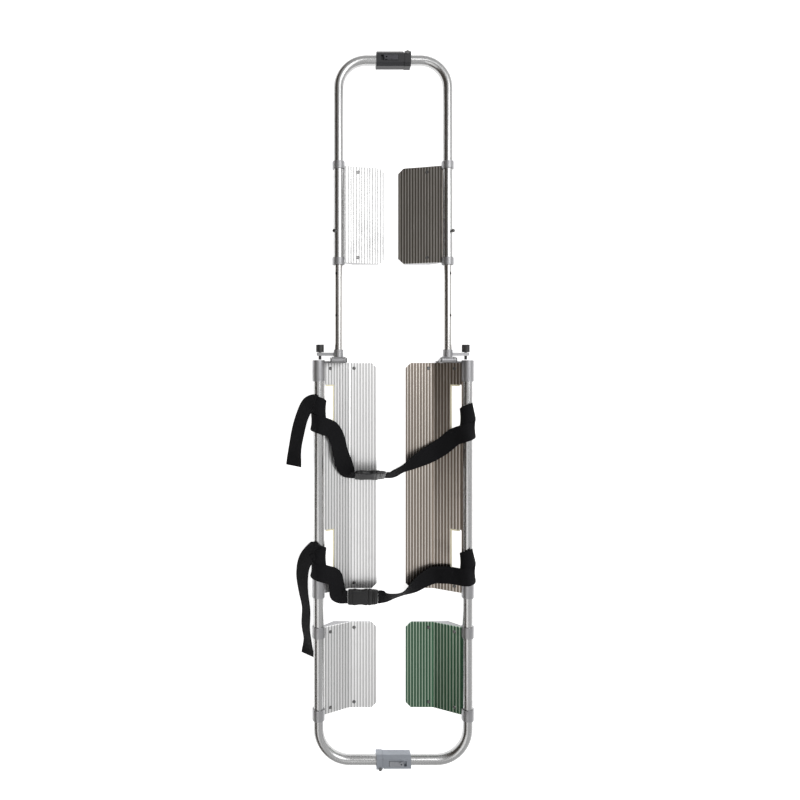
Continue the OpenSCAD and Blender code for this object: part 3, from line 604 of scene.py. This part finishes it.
def smooth_route(route, per_span=7):
    """A Catmull-Rom curve through all six values of each point, evaluated as whole arrays."""
    p = np.array(route, dtype=float)
    p = np.concatenate([2 * p[:1] - p[1:2], p, 2 * p[-1:] - p[-2:-1]])
    t = np.linspace(0, 1, per_span, endpoint=False)[None, :, None]
    a, b, c, d = (p[i:len(p) - 3 + i][:, None, :] for i in range(4))
    curve = 0.5 * (2 * b + (c - a) * t + (2 * a - 5 * b + 4 * c - d) * t**2
                   + (3 * b - a - 3 * c + d) * t**3)
    return np.concatenate([curve.reshape(-1, p.shape[1]), p[-2:-1]])


def unit_rows(v):
    """Each row divided by its own length."""
    return v / np.linalg.norm(v, axis=-1, keepdims=True)


def tape_profile():
    """A flat oval: (across, up) offsets round the tape's cross-section, with round edges."""
    w, h = TAPE_WIDTH / 2, TAPE_THICK / 2
    flat = np.linspace(-1, 1, 11) * (w - h)
    edge = np.radians([60, 30, 0, -30, -60])
    right = np.stack([w - h + h * np.cos(edge), h * np.sin(edge)], -1)
    top = np.stack([flat, np.full_like(flat, h)], -1)
    return np.concatenate([top, right, -top, -right])


def tape_surface(route, side):
    """Point = station centre + across * width direction + up * normal.

    The result is in metres, and side -1 mirrors it to the left half.
    """
    p = smooth_route(route)
    centre, normal = p[:, :3], p[:, 3:]
    run = unit_rows(np.gradient(centre, axis=0))
    width = unit_rows(np.cross(run, normal))
    up = unit_rows(np.cross(width, run))
    profile = tape_profile()
    across, rise = profile[None, :, :1], profile[None, :, 1:]
    points = centre[:, None] + across * width[:, None] + rise * up[:, None]
    length = np.concatenate([[0], np.cumsum(np.linalg.norm(np.diff(centre, axis=0), axis=1))])
    u = np.broadcast_to(profile[None, :, 0], points.shape[:2])
    v = np.broadcast_to(length[:, None], points.shape[:2])
    points = points * MM * np.array([side, 1, 1])
    return points, np.stack([u, v], -1) * MM, length[-1] * MM


def make_tape(name, route, side, body):
    """One strap piece with closed ends; its faces are turned to point outwards."""
    points, uv, length = tape_surface(route, side)
    stations, around = points.shape[:2]
    faces = grid_faces(stations, around, close_columns=True).tolist()
    faces += [list(range(around))[::-1], [(stations - 1) * around + i for i in range(around)]]
    if side > 0:
        faces = [f[::-1] for f in faces]
    piece = make_piece(name, points.reshape(-1, 3), faces, body, webbing,
                       uv.reshape(-1, 2))
    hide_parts(name.replace("_webbing", ""))
    print(name, "length", round(length, 3), "m")
    return piece


for node_name, route, side, body in (
        ("upper_strap_left", upper_left_route(), -1, "left_torso"),
        ("upper_strap_right", upper_right_route(), 1, "right_torso"),
        ("lower_strap_left", lower_left_route(), -1, "left_torso"),
        ("lower_strap_right", lower_right_route(), 1, "right_torso")):
    make_tape(node_name + "_webbing", route, side, body)

# %% [markdown]
# ## Buckles
# Each strap closes with a moulded side-release buckle. Its socket and plug are drawn as a
# row of rounded cross-sections: each station along the buckle has its own half width and
# half thickness, so shoulders, waist and grip ribs come from one smooth list of numbers.

# %% Buckle surfaces
def oval_section(half_width, half_thick, around=40, squareness=0.32):
    """A rounded rectangle: cosine and sine raised to a low power, keeping their signs."""
    a = np.linspace(0, 2 * np.pi, around, endpoint=False)
    c, s = np.cos(a), np.sin(a)
    x = np.sign(c) * np.abs(c) ** squareness
    z = np.sign(s) * np.abs(s) ** squareness
    return np.stack([half_width[:, None] * x, half_thick[:, None] * z], -1)


def buckle_surface(stations, place, tilt):
    """Sections set along x, tilted about x and moved to their place, in metres."""
    table = np.array(stations, dtype=float)
    x = np.interp(np.linspace(0, 1, 60), np.linspace(0, 1, len(table)), table[:, 0])
    width = np.interp(x, table[:, 0], table[:, 1])
    thick = np.interp(x, table[:, 0], table[:, 2])
    section = oval_section(width, thick)
    across, up = section[..., 0], section[..., 1]
    c, s = math.cos(math.radians(tilt)), math.sin(math.radians(tilt))
    points = np.stack([np.broadcast_to(x[:, None], across.shape),
                       across * c - up * s, across * s + up * c], -1)
    return (points + np.array(place)) * MM


# Each station is (place along the buckle, half width, half thickness), in millimetres
SOCKET = [(0.5, 24, 2.5), (2, 26, 4.2), (6, 27, 5.4), (8, 27, 4.6), (10, 27, 5.6),
          (12, 27, 4.6), (14, 27, 5.8), (20, 28, 6.0), (30, 25.5, 6.0), (40, 25, 6.0),
          (48, 27.5, 6.0), (54, 28, 5.8), (56, 27.5, 5.2)]
PLUG = [(56.6, 27.5, 5.2), (58, 28, 5.8), (62, 28, 6.0), (66, 27, 5.2), (68, 27, 3.8),
        (71, 26.5, 5.2), (73, 26.5, 3.8), (76, 26, 5.0), (78, 26, 3.6), (82, 25, 3.4),
        (84, 23.5, 2.0)]


def make_buckle(name, stations, place, tilt, body):
    """One closed lofted shell; both ends are capped with a single face."""
    points = buckle_surface(stations, place, tilt)
    rows, around = points.shape[:2]
    faces = grid_faces(rows, around, close_columns=True).tolist()
    faces = [f[::-1] for f in faces]
    faces += [list(range(around)), [(rows - 1) * around + i for i in range(around)][::-1]]
    piece = make_piece(name + "_moulded", points.reshape(-1, 3), faces, body,
                       finishes["buckle"])
    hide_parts(name)
    return piece


UPPER_AT, UPPER_TILT = (-(RAIL_X - 101), HOLE_UPPER - 188, 37.0), 60
LOWER_AT, LOWER_TILT = (-(RAIL_X - 81), HOLE_LOWER - 126, 34.0), 25
for name, stations, place, tilt, body in (
        ("upper_buckle_socket", SOCKET, UPPER_AT, UPPER_TILT, "left_torso"),
        ("upper_buckle_plug", PLUG, UPPER_AT, UPPER_TILT, "right_torso"),
        ("lower_buckle_socket", SOCKET, LOWER_AT, LOWER_TILT, "left_torso"),
        ("lower_buckle_plug", PLUG, LOWER_AT, LOWER_TILT, "right_torso")):
    make_buckle(name, stations, place, tilt, body)
print("buckles moulded: 4")
